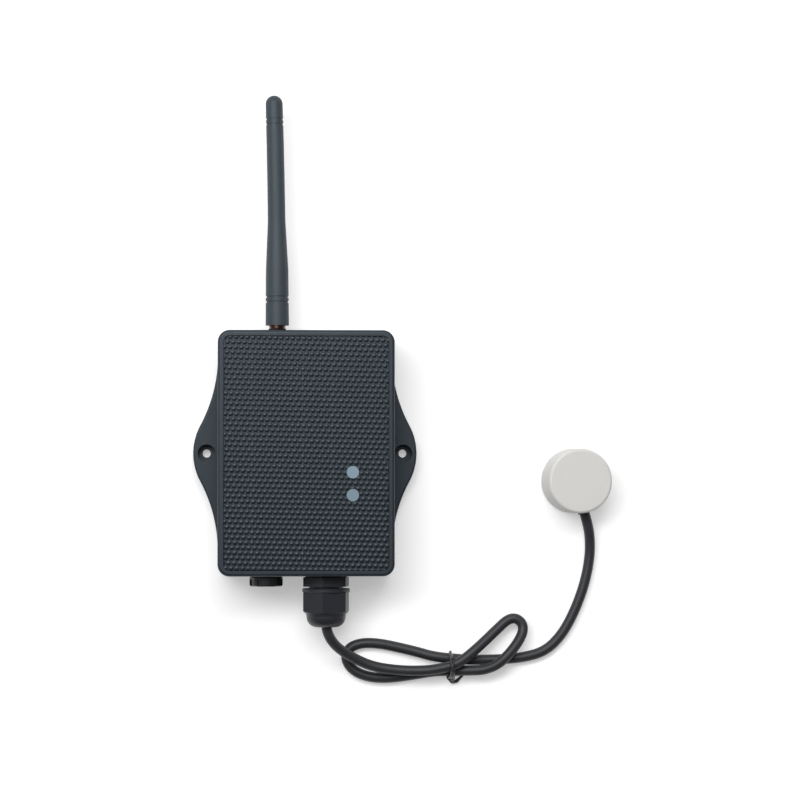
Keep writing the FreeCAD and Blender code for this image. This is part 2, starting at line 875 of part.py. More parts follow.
def battery_leads():
    """Two wires from the tabs to the connector on the board's underside."""
    plug_z = board_under - connector_size[2] / 2
    near_y = connector_y + connector_size[1] / 2
    far_y = connector_y - connector_size[1] / 2
    lift = battery_z + 1.8
    near = wire([
        (battery_x, cell_high + tab_thickness, lift), (battery_x, cell_high + 3.2, lift),
        (battery_x - 5.0, cell_high + 4.4, lift - 1.6), (battery_x - 9.6, cell_high + 2.8, lift),
        (connector_x, cell_high - 1.8, plug_z - 1.4), (connector_x, near_y + 4.2, plug_z),
        (connector_x, near_y, plug_z)], lead_radius)
    far = wire([
        (battery_x, cell_low - tab_thickness, lift), (battery_x, cell_low - 3.4, lift),
        (battery_x - 5.2, cell_low - 4.6, lift), (connector_x + 1.4, cell_low - 1.6, lift + 1.4),
        (connector_x, cell_low + 8.0, lift + 3.0),
        (connector_x - 0.6, cell_low + 22.0, lift + 4.4),
        (connector_x, far_y - 12.0, plug_z - 0.4), (connector_x, far_y - 4.0, plug_z),
        (connector_x, far_y, plug_z)], lead_radius)
    return Part.makeCompound([near, far])


keep("battery_cell", bar(cell_radius, battery_x, battery_z, cell_low, cell_high))
keep("battery_cradle", battery_cradle())
keep("battery_strap", battery_strap())
keep("battery_tabs", battery_tabs())
keep("battery_leads", battery_leads())


# Aerial jack through the top wall, with its washer, nut and the lead to the radio

def nut_foot():
    return half_height + jack_seal_thickness


def collar_foot():
    return nut_foot() + jack_nut_thickness + spin_gap


def sheath_foot():
    return collar_foot() + collar_lip


def aerial_jack():
    flange_end = inner_end - jack_flange_thickness
    reach = half_height + jack_reach
    jack = joined([
        bar(jack_radius, aerial_x, port_height, inner_end, reach),
        hexagon(jack_flange, aerial_x, port_height, flange_end, inner_end),
        bar(jack_tail_radius, aerial_x, port_height, jack_tail_end, flange_end)])
    return jack.cut(bar(pin_radius + running_fit, aerial_x, port_height, reach - jack_bore_depth, reach))


def jack_nut():
    nut = hexagon(jack_nut_size, aerial_x, port_height, nut_foot(), nut_foot() + jack_nut_thickness, 30)
    return nut.cut(bar(jack_radius, aerial_x, port_height, nut_foot(), nut_foot() + jack_nut_thickness))


def aerial_pigtail():
    socket_x, socket_y = radio_socket_place()
    plug_z = board_under - radio_size[2] - coax_socket_height
    return wire([
        (aerial_x, jack_tail_end, port_height), (aerial_x, jack_tail_end - 2.4, port_height),
        (aerial_x + 4.6, jack_tail_end - 3.8, port_height + 0.4),
        (aerial_x + 10.6, jack_tail_end - 2.6, port_height + 0.4),
        (socket_x - 4.6, jack_tail_end - 4.4, port_height),
        (socket_x - 0.4, socket_y + 2.4, port_height - 0.4),
        (socket_x, socket_y, plug_z - 2.4), (socket_x, socket_y, plug_z)], pigtail_radius)


keep("aerial_jack", aerial_jack())
keep("jack_seal", tube(jack_seal_radius, jack_radius, aerial_x, port_height, half_height, nut_foot()))
keep("jack_nut", jack_nut())
keep("aerial_pigtail", aerial_pigtail())


# Aerial: a screwed collar, a bowed rubber sheath, the radiating rod and its insulator

def bowed_x(y):
    """The sheath's axis drifts to the left towards its tip."""
    share = (y - sheath_foot()) / sheath_length
    return aerial_x - sheath_bow * share ** 2


def bowed_bar(stations):
    rings = []
    for y, radius in stations:
        rings.append(Part.Wire(Part.makeCircle(radius, at(bowed_x(y), y, port_height), ALONG_Y)))
    return Part.makeLoft(rings, True, True)


def sheath_stations():
    foot = sheath_foot()
    skirt = foot + sheath_skirt_length
    waist = skirt + sheath_cone_length
    crown = foot + sheath_length - sheath_tip_radius
    stations = [(foot, sheath_base_radius), (skirt, sheath_skirt_radius), (waist, sheath_waist_radius)]
    for step in (1, 2, 3):
        share = step / 3
        radius = sheath_waist_radius + (sheath_tip_radius - sheath_waist_radius) * share
        stations.append((waist + (crown - waist) * share, radius))
    return stations


def radiator_span():
    foot = collar_foot() + collar_length
    return foot, foot + radiator_length


def radiator_rod():
    foot, end = radiator_span()
    stations = []
    for step in range(5):
        stations.append((foot + (end - foot) * step / 4, radiator_radius))
    return bowed_bar(stations)


def aerial_sheath():
    stations = sheath_stations()
    crown_y, crown_radius = stations[-1]
    crown = Part.makeSphere(crown_radius, at(bowed_x(crown_y), crown_y, port_height))
    crown = crown.common(bar(2 * crown_radius, aerial_x, port_height, crown_y, crown_y + 2 * crown_radius))
    sheath = bowed_bar(stations).fuse(crown)
    grooves = ((base_groove_place, sheath_skirt_radius), (tip_groove_place, sheath_tip_radius))
    for place, radius in grooves:
        for offset in (-groove_pitch / 2, groove_pitch / 2):
            y = sheath_foot() + place + offset
            sheath = sheath.cut(tube(
                2 * radius, radius - groove_depth, bowed_x(y), port_height,
                y - groove_width / 2, y + groove_width / 2))
    collar_end = collar_foot() + collar_length
    sheath = sheath.cut(bar(collar_radius, aerial_x, port_height, sheath_foot(), collar_end))
    return sheath.cut(radiator_rod())


def aerial_collar():
    foot = collar_foot()
    end = foot + collar_length
    roof = end - collar_roof
    collar = tube(collar_radius, jack_radius + running_fit, aerial_x, port_height, foot, roof)
    cap = tube(collar_radius, radiator_radius + insulator_wall, aerial_x, port_height, roof, end)
    return joined([collar, cap])


def aerial_insulator():
    end = collar_foot() + collar_length
    return tube(radiator_radius + insulator_wall, pin_radius, aerial_x, port_height, end - collar_roof, end)


def aerial_radiator():
    foot = radiator_span()[0]
    pin_end = half_height + jack_reach - pin_reach
    return joined([radiator_rod(), bar(pin_radius, aerial_x, port_height, pin_end, foot)])


keep("aerial_sheath", aerial_sheath())
keep("aerial_collar", aerial_collar())
keep("aerial_insulator", aerial_insulator())
keep("aerial_radiator", aerial_radiator())


# Cable gland: body and locknut clamp the wall, the nut squeezes the seal on the cable

def gland_body():
    flange = -half_height - gland_gasket_thickness
    body = joined([
        hexagon(gland_hex, gland_x, port_height, gland_end, flange, 90 + gland_turn),
        bar(gland_thread_radius, gland_x, port_height, flange, gland_inner_end),
        bar(gland_thread_radius, gland_x, port_height, gland_end - gland_thread_length, gland_end)])
    return body.cut(bar(
        gland_bore_radius, gland_x, port_height, gland_end - gland_thread_length, gland_inner_end))


def gland_locknut():
    nut = hexagon(locknut_size, gland_x, port_height, -inner_end, -inner_end + locknut_thickness)
    return nut.cut(bar(
        gland_thread_radius, gland_x, port_height, -inner_end, -inner_end + locknut_thickness))


def gland_seal():
    thread_end = gland_end - gland_thread_length
    seal = turned([
        (cable_radius, cable_exit), (seal_nose_radius, cable_exit),
        (seal_nose_radius, thread_end - seal_cone_length), (gland_bore_radius, thread_end),
        (gland_bore_radius, gland_end), (cable_radius, gland_end)])
    return moved(seal, gland_x, 0, port_height)


def gland_nut():
    """A hexagonal nut with a round flange at its back and a round dome in front."""
    hexed = hexagon(gland_hex, 0, 0, nut_hex_end, nut_start, 90 + gland_turn)
    corner_reach = gland_hex / math.sqrt(3)
    blank = turned([
        (0, nut_start), (corner_reach, nut_start), (corner_reach, nut_hex_end + nut_front_bevel),
        (nut_shoulder_radius, nut_hex_end), (0, nut_hex_end)])
    ring_end = nut_start - nut_ring_length
    ring = turned([
        (0, nut_start), (nut_ring_radius - nut_ring_bevel, nut_start),
        (nut_ring_radius, nut_start - nut_ring_bevel), (nut_ring_radius, ring_end + nut_ring_bevel),
        (nut_ring_radius - nut_ring_bevel, ring_end), (0, ring_end)])
    body = hexed.common(blank).cut(turned([
        (0, nut_start), (corner_reach, nut_start), (corner_reach, ring_end), (0, ring_end)]))
    nut = joined([body, ring, domed_end()])
    bore_radius = gland_thread_radius + running_fit
    bore = turned([
        (0, nut_start), (bore_radius, nut_start), (bore_radius, nut_start - gland_thread_length),
        (nut_mouth_radius, nut_end + nut_mouth_length), (nut_mouth_radius, nut_end), (0, nut_end)])
    return moved(nut.cut(bore), gland_x, 0, port_height)


def domed_end():
    """The nut's round front: a short cone, then an elliptical nose down to the mouth."""
    round_start = nut_end + nut_dome_round
    lip = nut_mouth_radius + nut_lip
    knee = math.sqrt(0.5)
    mid_radius = lip + (nut_dome_radius - lip) * knee
    mid_y = round_start - nut_dome_round * knee
    edges = [
        Part.LineSegment(at(0, nut_hex_end, 0), at(nut_shoulder_radius, nut_hex_end, 0)),
        Part.LineSegment(at(nut_shoulder_radius, nut_hex_end, 0), at(nut_dome_radius, round_start, 0)),
        Part.Arc(at(nut_dome_radius, round_start, 0), at(mid_radius, mid_y, 0), at(lip, nut_end, 0)),
        Part.LineSegment(at(lip, nut_end, 0), at(0, nut_end, 0)),
        Part.LineSegment(at(0, nut_end, 0), at(0, nut_hex_end, 0))]
    return Part.Face(Part.Wire([edge.toShape() for edge in edges])).revolve(ORIGIN, ALONG_Y, 360)


def gland_gasket():
    return tube(
        gland_gasket_radius, gland_thread_radius, gland_x, port_height,
        -half_height - gland_gasket_thickness, -half_height)


keep("gland_body", gland_body())
keep("gland_gasket", gland_gasket())
keep("gland_locknut", gland_locknut())
keep("gland_seal", gland_seal())
keep("gland_nut", gland_nut())
keep("cable_tail", bar(cable_radius, gland_x, port_height, cable_exit, terminal_face))


# Breather plug with its membrane, seal and locknut

def vent_cap_span():
    start = -half_height - vent_seal_thickness
    return start, start - vent_cap_length


def vent_plug():
    start, end = vent_cap_span()
    cap = Part.makeCylinder(vent_radius, vent_cap_length, at(0, end, 0), ALONG_Y)
    rim_edges = [edge for edge in cap.Edges if abs(edge.BoundBox.YMax - end) < 1e-6]
    cap = cap.makeFillet(vent_edge_round, rim_edges)
    for i in range(vent_slots):
        slot = block(
            vent_radius - vent_slot_depth, 2 * vent_radius, end, start - vent_slot_end_gap,
            -vent_slot_width / 2, vent_slot_width / 2)
        slot.rotate(ORIGIN, ALONG_Y, 360 * (i + 0.5) / vent_slots)
        cap = cap.cut(slot)
    cap = moved(cap, vent_x, 0, port_height)
    inner = -inner_end + vent_nut_thickness + vent_tail_length
    plug = joined([cap, bar(vent_thread_radius, vent_x, port_height, start, inner)])
    plug = plug.cut(bar(membrane_radius, vent_x, port_height, start, inner))
    bore_end = end + vent_face_thickness
    plug = plug.cut(bar(vent_bore_radius, vent_x, port_height, bore_end, start))
    port_y = bore_end + vent_port_radius + vent_port_inset
    for side in (-1, 1):
        start_point = at(vent_x, port_y, port_height)
        plug = plug.cut(Part.makeCylinder(vent_port_radius, vent_radius, start_point, ALONG_X * side))
    return plug


def vent_membrane():
    start = vent_cap_span()[0]
    return bar(membrane_radius, vent_x, port_height, start, start + membrane_thickness)


def vent_locknut():
    nut = hexagon(vent_nut_size, vent_x, port_height, -inner_end, -inner_end + vent_nut_thickness)
    return nut.cut(bar(
        vent_thread_radius, vent_x, port_height, -inner_end, -inner_end + vent_nut_thickness))


keep("vent_plug", vent_plug())
keep("vent_seal", tube(
    vent_seal_radius, vent_thread_radius, vent_x, port_height, vent_cap_span()[0], -half_height))
keep("vent_membrane", vent_membrane())
keep("vent_locknut", vent_locknut())


# Sensing head, built upright on its own axis and then tipped on to its lower edge

def head_placement():
    tilt = math.radians(head_tilt)
    flat_radius = head_radius - head_foot_round
    lift = head_foot_round + flat_radius * math.sin(tilt) - head_foot_round * math.cos(tilt)
    return FreeCAD.Placement(at(head_x, head_y, lift), FreeCAD.Rotation(ALONG_Y, head_tilt))


def tipped(shape):
    copy = shape.copy()
    copy.transformShape(head_placement().toMatrix())
    return copy


def entry_direction():
    angle = math.radians(entry_angle)
    return at(math.cos(angle), math.sin(angle), 0)


def entry_point(reach):
    """A point on the line along which the cable meets the upright head."""
    return entry_direction() * reach + at(0, 0, entry_height)


def entry_bar(radius, start, end):
    return Part.makeCylinder(radius, end - start, entry_point(start), entry_direction())


def head_shell():
    shell = Part.makeCylinder(head_radius, head_height)
    shell = shell.makeFillet(head_face_round, edges_at_height(shell, head_height))
    shell = shell.makeFillet(head_foot_round, edges_at_height(shell, 0))
    shell = shell.cut(Part.makeCylinder(head_radius - head_wall, head_height - head_wall))
    return shell.cut(entry_bar(grommet_radius, head_radius - 2 * head_wall, head_radius + head_wall))


def head_disc(radius, z0, z1):
    return Part.makeCylinder(radius, z1 - z0, at(0, 0, z0))


def head_pieces():
    cavity = head_radius - head_wall
    piezo_top = face_plate_thickness + piezo_thickness
    backing_top = piezo_top + backing_height
    outer_face = head_radius + grommet_proud
    grommet = entry_bar(grommet_radius, outer_face - grommet_depth, outer_face)
    grommet = grommet.cut(entry_bar(cable_radius, outer_face - grommet_depth, outer_face))
    return {
        "head_shell": head_shell(),
        "head_face_plate": head_disc(cavity, 0, face_plate_thickness),
        "piezo_disc": head_disc(piezo_radius, face_plate_thickness, piezo_top),
        "head_backing": head_disc(piezo_radius, piezo_top, backing_top),
        "head_potting": head_disc(cavity, backing_top, head_height - head_wall),
        "head_grommet": grommet,
        "head_tail": entry_bar(cable_radius, head_tail_end, outer_face)}


for name, solid in head_pieces().items():
    keep(name, tipped(solid))


# Cable: one path cut at the tie into the lead-in, the two loops and the lead-out

def cable_route():
    """The whole route: straight out of the gland, the chosen points, straight into the head."""
    start = [at(gland_x, cable_exit, port_height), at(gland_x, cable_exit - gland_straight, port_height)]
    face = head_radius + grommet_proud
    place = head_placement()
    end = [place.multVec(entry_point(face + head_straight)), place.multVec(entry_point(face))]
    return start + [at(*p) for p in lead_in_route + hank_route + lead_out_route] + end


def split_line(edge, share):
    start = edge.valueAt(edge.FirstParameter)
    end = edge.valueAt(edge.LastParameter)
    place = start + (end - start) * share
    return [Part.LineSegment(start, place).toShape(), Part.LineSegment(place, end).toShape()]


def cable_pieces():
    """The path's edges for each of the three pieces, and the radii of the whole path's arcs.

    The pieces meet on the two straight runs that pass through the tie, where the hank keeps a straight
    end. Runs and arcs take turns in the path, so run number n is edge number 2n.
    """
    edges, radii = polyline_path(cable_route())
    first = 2 * (len(lead_in_route) + 1)
    last = first + 2 * len(hank_route)
    to_tie, from_tie = split_line(edges[first], 1 - hank_end / edges[first].Length)
    back_to_tie, onward = split_line(edges[last], hank_end / edges[last].Length)
    return {
        "cable_lead_in": edges[:first] + [to_tie],
        "cable_hank": [from_tie] + edges[first + 1:last] + [back_to_tie],
        "cable_lead_out": [onward] + edges[last + 1:]}, radii


def least_gap(edges, skip):
    """Least gap of the cable to itself, between points further apart along it than the length skip."""
    points = []
    run = 0.0
    for edge in edges:
        steps = max(2, int(edge.Length))
        for i in range(steps):
            share = i / steps
            parameter = edge.FirstParameter + (edge.LastParameter - edge.FirstParameter) * share
            points.append((run + edge.Length * share, edge.valueAt(parameter)))
        run += edge.Length
    best = None
    for i, (run_a, a) in enumerate(points):
        for run_b, b in points[i + 1:]:
            if run_b - run_a > skip:
                gap = a.distanceToPoint(b) - 2 * cable_radius
                if best is None or gap < best:
                    best = gap
    return best


cable_edges, cable_radii = cable_pieces()
for name, edges in cable_edges.items():
    solid = swept(edges, cable_radius)
    keep(name, solid)
    length = sum(edge.Length for edge in edges)
    print(name, "length", round(length, 2), "volume", round(solid.Volume, 1),
          "section times length", round(math.pi * cable_radius ** 2 * length, 1))
print("cable arc radii", [round(radius, 1) for radius in cable_radii])
route = cable_route()
print("cable ends", [tuple(round(value, 3) for value in point) for point in route[:2] + route[-2:]])
all_edges = cable_edges["cable_lead_in"] + cable_edges["cable_hank"] + cable_edges["cable_lead_out"]
print("least gap of the cable to itself", round(least_gap(all_edges, same_fold), 2))


# Wire tie: a closed loop round the three passes, with a short end and one bent into an eye

def tie_loop():
    radius = cable_radius + tie_fit + tie_radius
    centres = [
        (tie_under, radius), (tie_over, radius + tie_over_spread), (tie_beside, radius)]
    places = []
    count = len(centres)
    for i in range(count):
        (ya, za), ra = centres[i]
        (yb, zb), rb = centres[(i + 1) % count]
        distance = math.hypot(yb - ya, zb - za)
        heading = math.atan2(zb - za, yb - ya)
        outward = heading - math.acos((ra - rb) / distance)
        places.append((
            (ya + ra * math.cos(outward), za + ra * math.sin(outward)),
            (yb + rb * math.cos(outward), zb + rb * math.sin(outward)), outward))
    edges = []
    for i in range(count):
        start, end, outward = places[i]
        edges.append(Part.LineSegment(at(tie_x, *start), at(tie_x, *end)).toShape())
        (y, z), r = centres[(i + 1) % count]
        next_start = places[(i + 1) % count][0]
        next_outward = places[(i + 1) % count][2]
        turn = (next_outward - outward) % (2 * math.pi)
        middle = outward + turn / 2
        mid = at(tie_x, y + r * math.cos(middle), z + r * math.sin(middle))
        edges.append(Part.Arc(at(tie_x, *end), mid, at(tie_x, *next_start)).toShape())
    loop = swept(edges, tie_radius)
    knot = (tie_x, tie_beside[0] - radius, tie_beside[1])
    ends = [wire([knot, tie_short_end], tie_radius), wire([knot] + tie_bent_end, tie_radius)]
    return joined([loop] + ends)


keep("cable_tie", tie_loop())

os.makedirs("parts", exist_ok=True)
for name, shape in pieces.items():
    solids = shape.Solids
    volume = sum(solid.Volume for solid in solids)
    print("%-18s solids %2d  valid %s  volume %9.2f" % (name, len(solids), shape.isValid(), volume))
    shape.exportStep("parts/" + name + ".step")
print(len(pieces), "nodes")
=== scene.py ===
# %% [markdown]
# # A tank level sensor on a white table
#
# The real object is a small wall housing with a solar front, a rubber aerial, a cable gland and a
# round sensing head on a tied cable. Its hard pieces come as a imported CAD model that never moves. This
# lesson lays a free cable where the CAD cable lies, models the pieces that need finer work than the
# CAD gives, and paints everything with node materials.
#
# The first cell loads the CAD model, moves each of its pieces into world space and drops the empty nodes.

# %% Load the imported model
import math

import bpy
from mathutils import Matrix, Vector


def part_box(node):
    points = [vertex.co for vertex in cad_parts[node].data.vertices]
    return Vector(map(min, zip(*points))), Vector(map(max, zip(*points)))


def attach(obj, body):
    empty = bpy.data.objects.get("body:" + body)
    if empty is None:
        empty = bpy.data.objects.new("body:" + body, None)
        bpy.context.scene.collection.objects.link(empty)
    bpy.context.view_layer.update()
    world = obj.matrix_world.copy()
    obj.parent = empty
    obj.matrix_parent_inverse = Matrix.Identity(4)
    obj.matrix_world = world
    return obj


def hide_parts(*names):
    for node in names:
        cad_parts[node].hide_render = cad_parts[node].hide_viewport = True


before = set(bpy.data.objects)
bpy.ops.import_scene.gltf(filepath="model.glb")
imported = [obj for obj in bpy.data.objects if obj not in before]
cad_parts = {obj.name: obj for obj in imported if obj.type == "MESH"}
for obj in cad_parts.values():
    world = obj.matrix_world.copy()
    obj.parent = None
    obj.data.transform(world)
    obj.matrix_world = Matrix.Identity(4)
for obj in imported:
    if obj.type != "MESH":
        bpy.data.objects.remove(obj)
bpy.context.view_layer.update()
MM = 0.001

# %% [markdown]
# ## The camera
#
# The photograph looks straight down on the object. Its perspective is mild: the housing's front, 34 mm
# above the table, is drawn 2.4 % larger than the ears at its foot, which puts the camera about 1.4 m up.
# A camera could be turned with angles, but three axes built from "where it looks" and "which way is up"
# can't roll by accident.

# %% Camera above the table
CAMERA_PLACE = Vector((-32.68, -8.29, 1417.0)) * MM
CAMERA_TARGET = Vector((43.047, 24.182, 0.0)) * MM
CAMERA_LENS = 141.49

camera_data = bpy.data.cameras.new("photo_camera")
camera_data.lens = CAMERA_LENS
camera_data.sensor_width = 36.0
camera_data.clip_end = 20.0
camera = bpy.data.objects.new("photo_camera", camera_data)
bpy.context.scene.collection.objects.link(camera)
backwards = (CAMERA_PLACE - CAMERA_TARGET).normalized()
to_the_right = Vector((0, 1, 0)).cross(backwards).normalized()
upwards = backwards.cross(to_the_right)
turn = Matrix((to_the_right, upwards, backwards)).transposed()
camera.matrix_world = Matrix.Translation(CAMERA_PLACE) @ turn.to_4x4()
bpy.context.scene.camera = camera
bpy.context.scene.view_settings.view_transform = "Standard"
print("camera", [round(v, 3) for v in camera.location], "lens", round(camera_data.lens, 1))

# %% [markdown]
# ## The cable
#
# A soft 4.6 mm signal cable runs from the gland to the sensing head. It is folded into two loose loops
# and held by a wire tie. Bezier handles would need a handle at every bend, so a NURBS curve is used: its
# line runs smoothly inside the same corner points that the CAD tube follows. The order is set after the
# points, because Blender lowers it again on a curve that has too few of them.

# %% The cable's route, in millimetres
gland_end = [(9.2, -74.4, 17.0), (9.2, -78.1, 17.0)]
lead_in = [
    (11.6, -83.5, 15.6), (15.8, -87.8, 12.0), (22.5, -92.0, 8.9), (30.6, -95.5, 7.5),
    (40.5, -97.05, 7.4), (50.0, -97.45, 7.9), (58.5, -96.9, 8.6)]
right_loop = [
    (68.2, -94.5, 8.9), (74.2, -90.0, 8.6), (80.3, -84.7, 7.2), (86.1, -79.3, 5.8), (91.1, -74.7, 4.9),
    (94.8, -73.9, 4.8), (97.8, -76.1, 4.8), (98.4, -79.6, 5.2), (96.2, -84.2, 6.8), (91.9, -89.7, 8.4),
    (86.5, -94.9, 7.8), (80.2, -97.3, 6.2), (74.5, -97.45, 5.5), (69.0, -97.65, 4.1)]
left_loop = [
    (58.5, -97.8, 3.55), (52.0, -98.95, 2.7), (43.0, -100.35, 2.35), (35.6, -101.0, 2.35),
    (28.2, -100.3, 2.35), (21.8, -97.6, 2.35), (18.3, -92.6, 2.35), (19.6, -87.4, 2.35),
    (25.6, -85.0, 2.35), (34.0, -85.4, 2.35), (42.5, -87.25, 2.35), (50.5, -89.15, 2.6),
    (58.5, -91.45, 3.55)]
lead_out = [
    (72.0, -92.7, 3.55), (80.5, -92.9, 2.4), (89.5, -92.6, 2.35), (98.9, -91.8, 2.35), (108.5, -89.1, 2.35),
    (116.0, -81.8, 2.35), (121.7, -71.4, 2.35), (126.2, -59.4, 2.35), (128.6, -48.0, 2.4),
    (128.8, -39.2, 3.4)]
head_end = [(127.595, -32.191, 5.92), (125.912, -26.645, 6.127)]
cable_points = gland_end + lead_in + right_loop + left_loop + lead_out + head_end
CABLE_RADIUS = 2.3 * MM
print("cable route:", len(cable_points), "points")

# %% The cable as one NURBS curve
cable_curve = bpy.data.curves.new("sensor_cable", "CURVE")
cable_curve.dimensions = "3D"
cable_line = cable_curve.splines.new("NURBS")
cable_line.points.add(len(cable_points) - 1)
for point, place in zip(cable_line.points, cable_points):
    point.co = (place[0] * MM, place[1] * MM, place[2] * MM, 1.0)
cable_line.order_u = 3
cable_line.use_endpoint_u = True
cable_line.resolution_u = 8
cable_line.use_smooth = True
cable_curve.bevel_depth = CABLE_RADIUS
cable_curve.bevel_resolution = 5
cable_curve.use_fill_caps = True
sensor_cable = bpy.data.objects.new("sensor_cable", cable_curve)
bpy.context.scene.collection.objects.link(sensor_cable)
print("cable order", cable_line.order_u)

# %% [markdown]
# ## Small helpers for modelling
#
# Operators act on everything that is selected, so each new piece starts with nothing selected. When a
# piece is done, its place is applied to its mesh, so that the object sits at the origin like the CAD
# pieces do. It then rides on the CAD body that would carry it on the real object.

# %% Selecting and finishing
def start_fresh():
    """Leave edit mode and select nothing."""
    if bpy.context.object and bpy.context.object.mode != "OBJECT":
        bpy.ops.object.mode_set(mode="OBJECT")
    bpy.ops.object.select_all(action="DESELECT")


def only(piece):
    """Make one piece the only selected and active one."""
    start_fresh()
    piece.select_set(True)
    bpy.context.view_layer.objects.active = piece


def finish_piece(piece, body, angle=35):
    """Apply the piece's place and modifiers, smooth it and let it ride on a CAD body."""
    only(piece)
    for modifier in list(piece.modifiers):
        bpy.ops.object.modifier_apply(modifier=modifier.name)
    bpy.ops.object.transform_apply(location=True, rotation=True, scale=True)
    bpy.ops.object.shade_smooth_by_angle(angle=math.radians(angle))
    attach(piece, body)
    size = [round(side / MM, 2) for side in piece.dimensions]
    print(piece.name, "faces", len(piece.data.polygons), "size in mm", size)
    return piece


print("helpers ready")

# %% [markdown]
# ## The domes at the edge of the solar front
#
# The clear front of the panel is moulded with a staggered lattice of small domes. The CAD model holds
# every dome that is whole. The real sheet is cut through its lattice, so there are part domes along its
# four edges and round the two holes, and those are made here. One dome is the cap of a ball, cut off
# with a bisect. The cut keeps a closed foot, because a boolean needs closed pieces, and its tolerance is
# set far below the default tenth of a millimetre, which is a third of the dome's height. The dome is
# copied to the places that the CAD leaves out, and then the panel's outline and the holes cut them all.

# %% Sizes of the front
panel_low, panel_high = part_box("solar_laminate")
DOME_RADIUS = 1.1 * MM
DOME_HEIGHT = 0.32 * MM
DOME_SUNK = 0.02 * MM
DOME_BALL = (DOME_RADIUS ** 2 + DOME_HEIGHT ** 2) / (2 * DOME_HEIGHT)
DOME_SIDES = 24
BALL_RINGS = 36
CUT_GAP = 0.02 * MM
CUTTER_DEPTH = 4 * MM
CUT_TOLERANCE = 1e-4 * MM
PANEL_TOP = panel_high.z - DOME_HEIGHT
DOME_PITCH = 2.49 * MM
ROW_PITCH = 2.26 * MM
ROW_DRIFT = 0.027 * MM
LATTICE_TURN = math.radians(-1.2)
LATTICE_SHIFT = (-0.15 * MM, 0.7 * MM)
EDGE_GAP = 0.15 * MM
HOLES = [Vector((20.5, -8.4)) * MM, Vector((20.5, -18.5)) * MM]
HOLE_RADIUS = 2.95 * MM
HOLE_GAP = 0.1 * MM
MOST_ROWS = 27
MOST_COLUMNS = 24
MOST_CUT = 0.8
print("panel", [round(v / MM, 2) for v in panel_high - panel_low], "top", round(PANEL_TOP / MM, 2))

# %% Where the cut domes stand
def cut_dome_places():
    """Lattice places whose dome the panel's edge or a hole cuts through."""
    places = []
    half = (panel_high - panel_low) / 2
    for row in range(-MOST_ROWS, MOST_ROWS + 1):
        for column in range(-MOST_COLUMNS, MOST_COLUMNS + 1):
            x = (column + 0.5 * (row % 2)) * DOME_PITCH + row * ROW_DRIFT + LATTICE_SHIFT[0]
            y = row * ROW_PITCH + LATTICE_SHIFT[1]
            place = Vector((
                x * math.cos(LATTICE_TURN) - y * math.sin(LATTICE_TURN),
                x * math.sin(LATTICE_TURN) + y * math.cos(LATTICE_TURN)))
            from_edge = min(half.x - abs(place.x), half.y - abs(place.y))
            from_hole = min((place - centre).length for centre in HOLES) - HOLE_RADIUS
            whole = from_edge > EDGE_GAP + DOME_RADIUS and from_hole > HOLE_GAP + DOME_RADIUS
            touching = min(from_edge, from_hole) > -MOST_CUT * DOME_RADIUS
            if touching and not whole:
                places.append(place)
    return places


cut_lattice = cut_dome_places()
print("cut domes:", len(cut_lattice))

# %% One dome
start_fresh()
bpy.ops.mesh.primitive_uv_sphere_add(
    segments=DOME_SIDES, ring_count=BALL_RINGS, radius=DOME_BALL, location=(0, 0, DOME_HEIGHT - DOME_BALL))
dome = bpy.context.object
bpy.ops.object.transform_apply(location=True)
bpy.ops.object.mode_set(mode="EDIT")
bpy.ops.mesh.select_all(action="SELECT")
bpy.ops.mesh.bisect(
    plane_co=(0, 0, -DOME_SUNK), plane_no=(0, 0, 1), use_fill=True, clear_inner=True,
    threshold=CUT_TOLERANCE)
bpy.ops.mesh.select_all(action="SELECT")
bpy.ops.mesh.normals_make_consistent(inside=False)
bpy.ops.object.mode_set(mode="OBJECT")
print("dome faces", len(dome.data.polygons))

# %% All the cut domes as one piece
one = [v.co.copy() for v in dome.data.vertices]
one_faces = [list(face.vertices) for face in dome.data.polygons]
bpy.data.objects.remove(dome)
corners = []
faces = []
for place in cut_lattice:
    first = len(corners)
    corners += [Vector((place.x, place.y, PANEL_TOP)) + corner for corner in one]
    faces += [[first + index for index in face] for face in one_faces]
edge_mesh = bpy.data.meshes.new("panel_edge_domes")
edge_mesh.from_pydata(corners, [], faces)
panel_edge_domes = bpy.data.objects.new("panel_edge_domes", edge_mesh)
bpy.context.scene.collection.objects.link(panel_edge_domes)
print("corners", len(corners))

# %% Cut them at the frame and at the holes
def cut_domes(cutter, operation):
    """Cuts all the domes with one tool, which then goes."""
    only(panel_edge_domes)
    cut = panel_edge_domes.modifiers.new("cut", "BOOLEAN")
    cut.object = cutter
    cut.operation = operation
    cut.solver = "EXACT"
    bpy.ops.object.modifier_apply(modifier=cut.name)
    bpy.data.objects.remove(cutter)


start_fresh()
bpy.ops.mesh.primitive_cube_add(size=1, location=(0, 0, PANEL_TOP))
window = bpy.context.object
window.dimensions = (
    2 * (panel_high.x - CUT_GAP), 2 * (panel_high.y - CUT_GAP), CUTTER_DEPTH)
bpy.ops.object.transform_apply(scale=True)
cut_domes(window, "INTERSECT")
for centre in HOLES:
    start_fresh()
    bpy.ops.mesh.primitive_cylinder_add(
        vertices=64, radius=HOLE_RADIUS, depth=CUTTER_DEPTH,
        location=(centre.x, centre.y, PANEL_TOP))
    cut_domes(bpy.context.object, "DIFFERENCE")
heights = [corner.co.z / MM for corner in panel_edge_domes.data.vertices]
print("cut domes from", round(min(heights), 2), "to", round(max(heights), 2))
finish_piece(panel_edge_domes, "housing", angle=50)

# %% [markdown]
# ## The wire tie
#
# The tie is a short plastic-coated wire. It hugs the three passes of the cable, and its two ends are
# twisted together on top and bent back below into a small hook. A wire is easiest as a curve with a
# round bevel. Where two wires are twisted, each follows a helix round the path that they share, so a
# short function works out both from one list of points. The tie replaces the plain loop of the CAD.

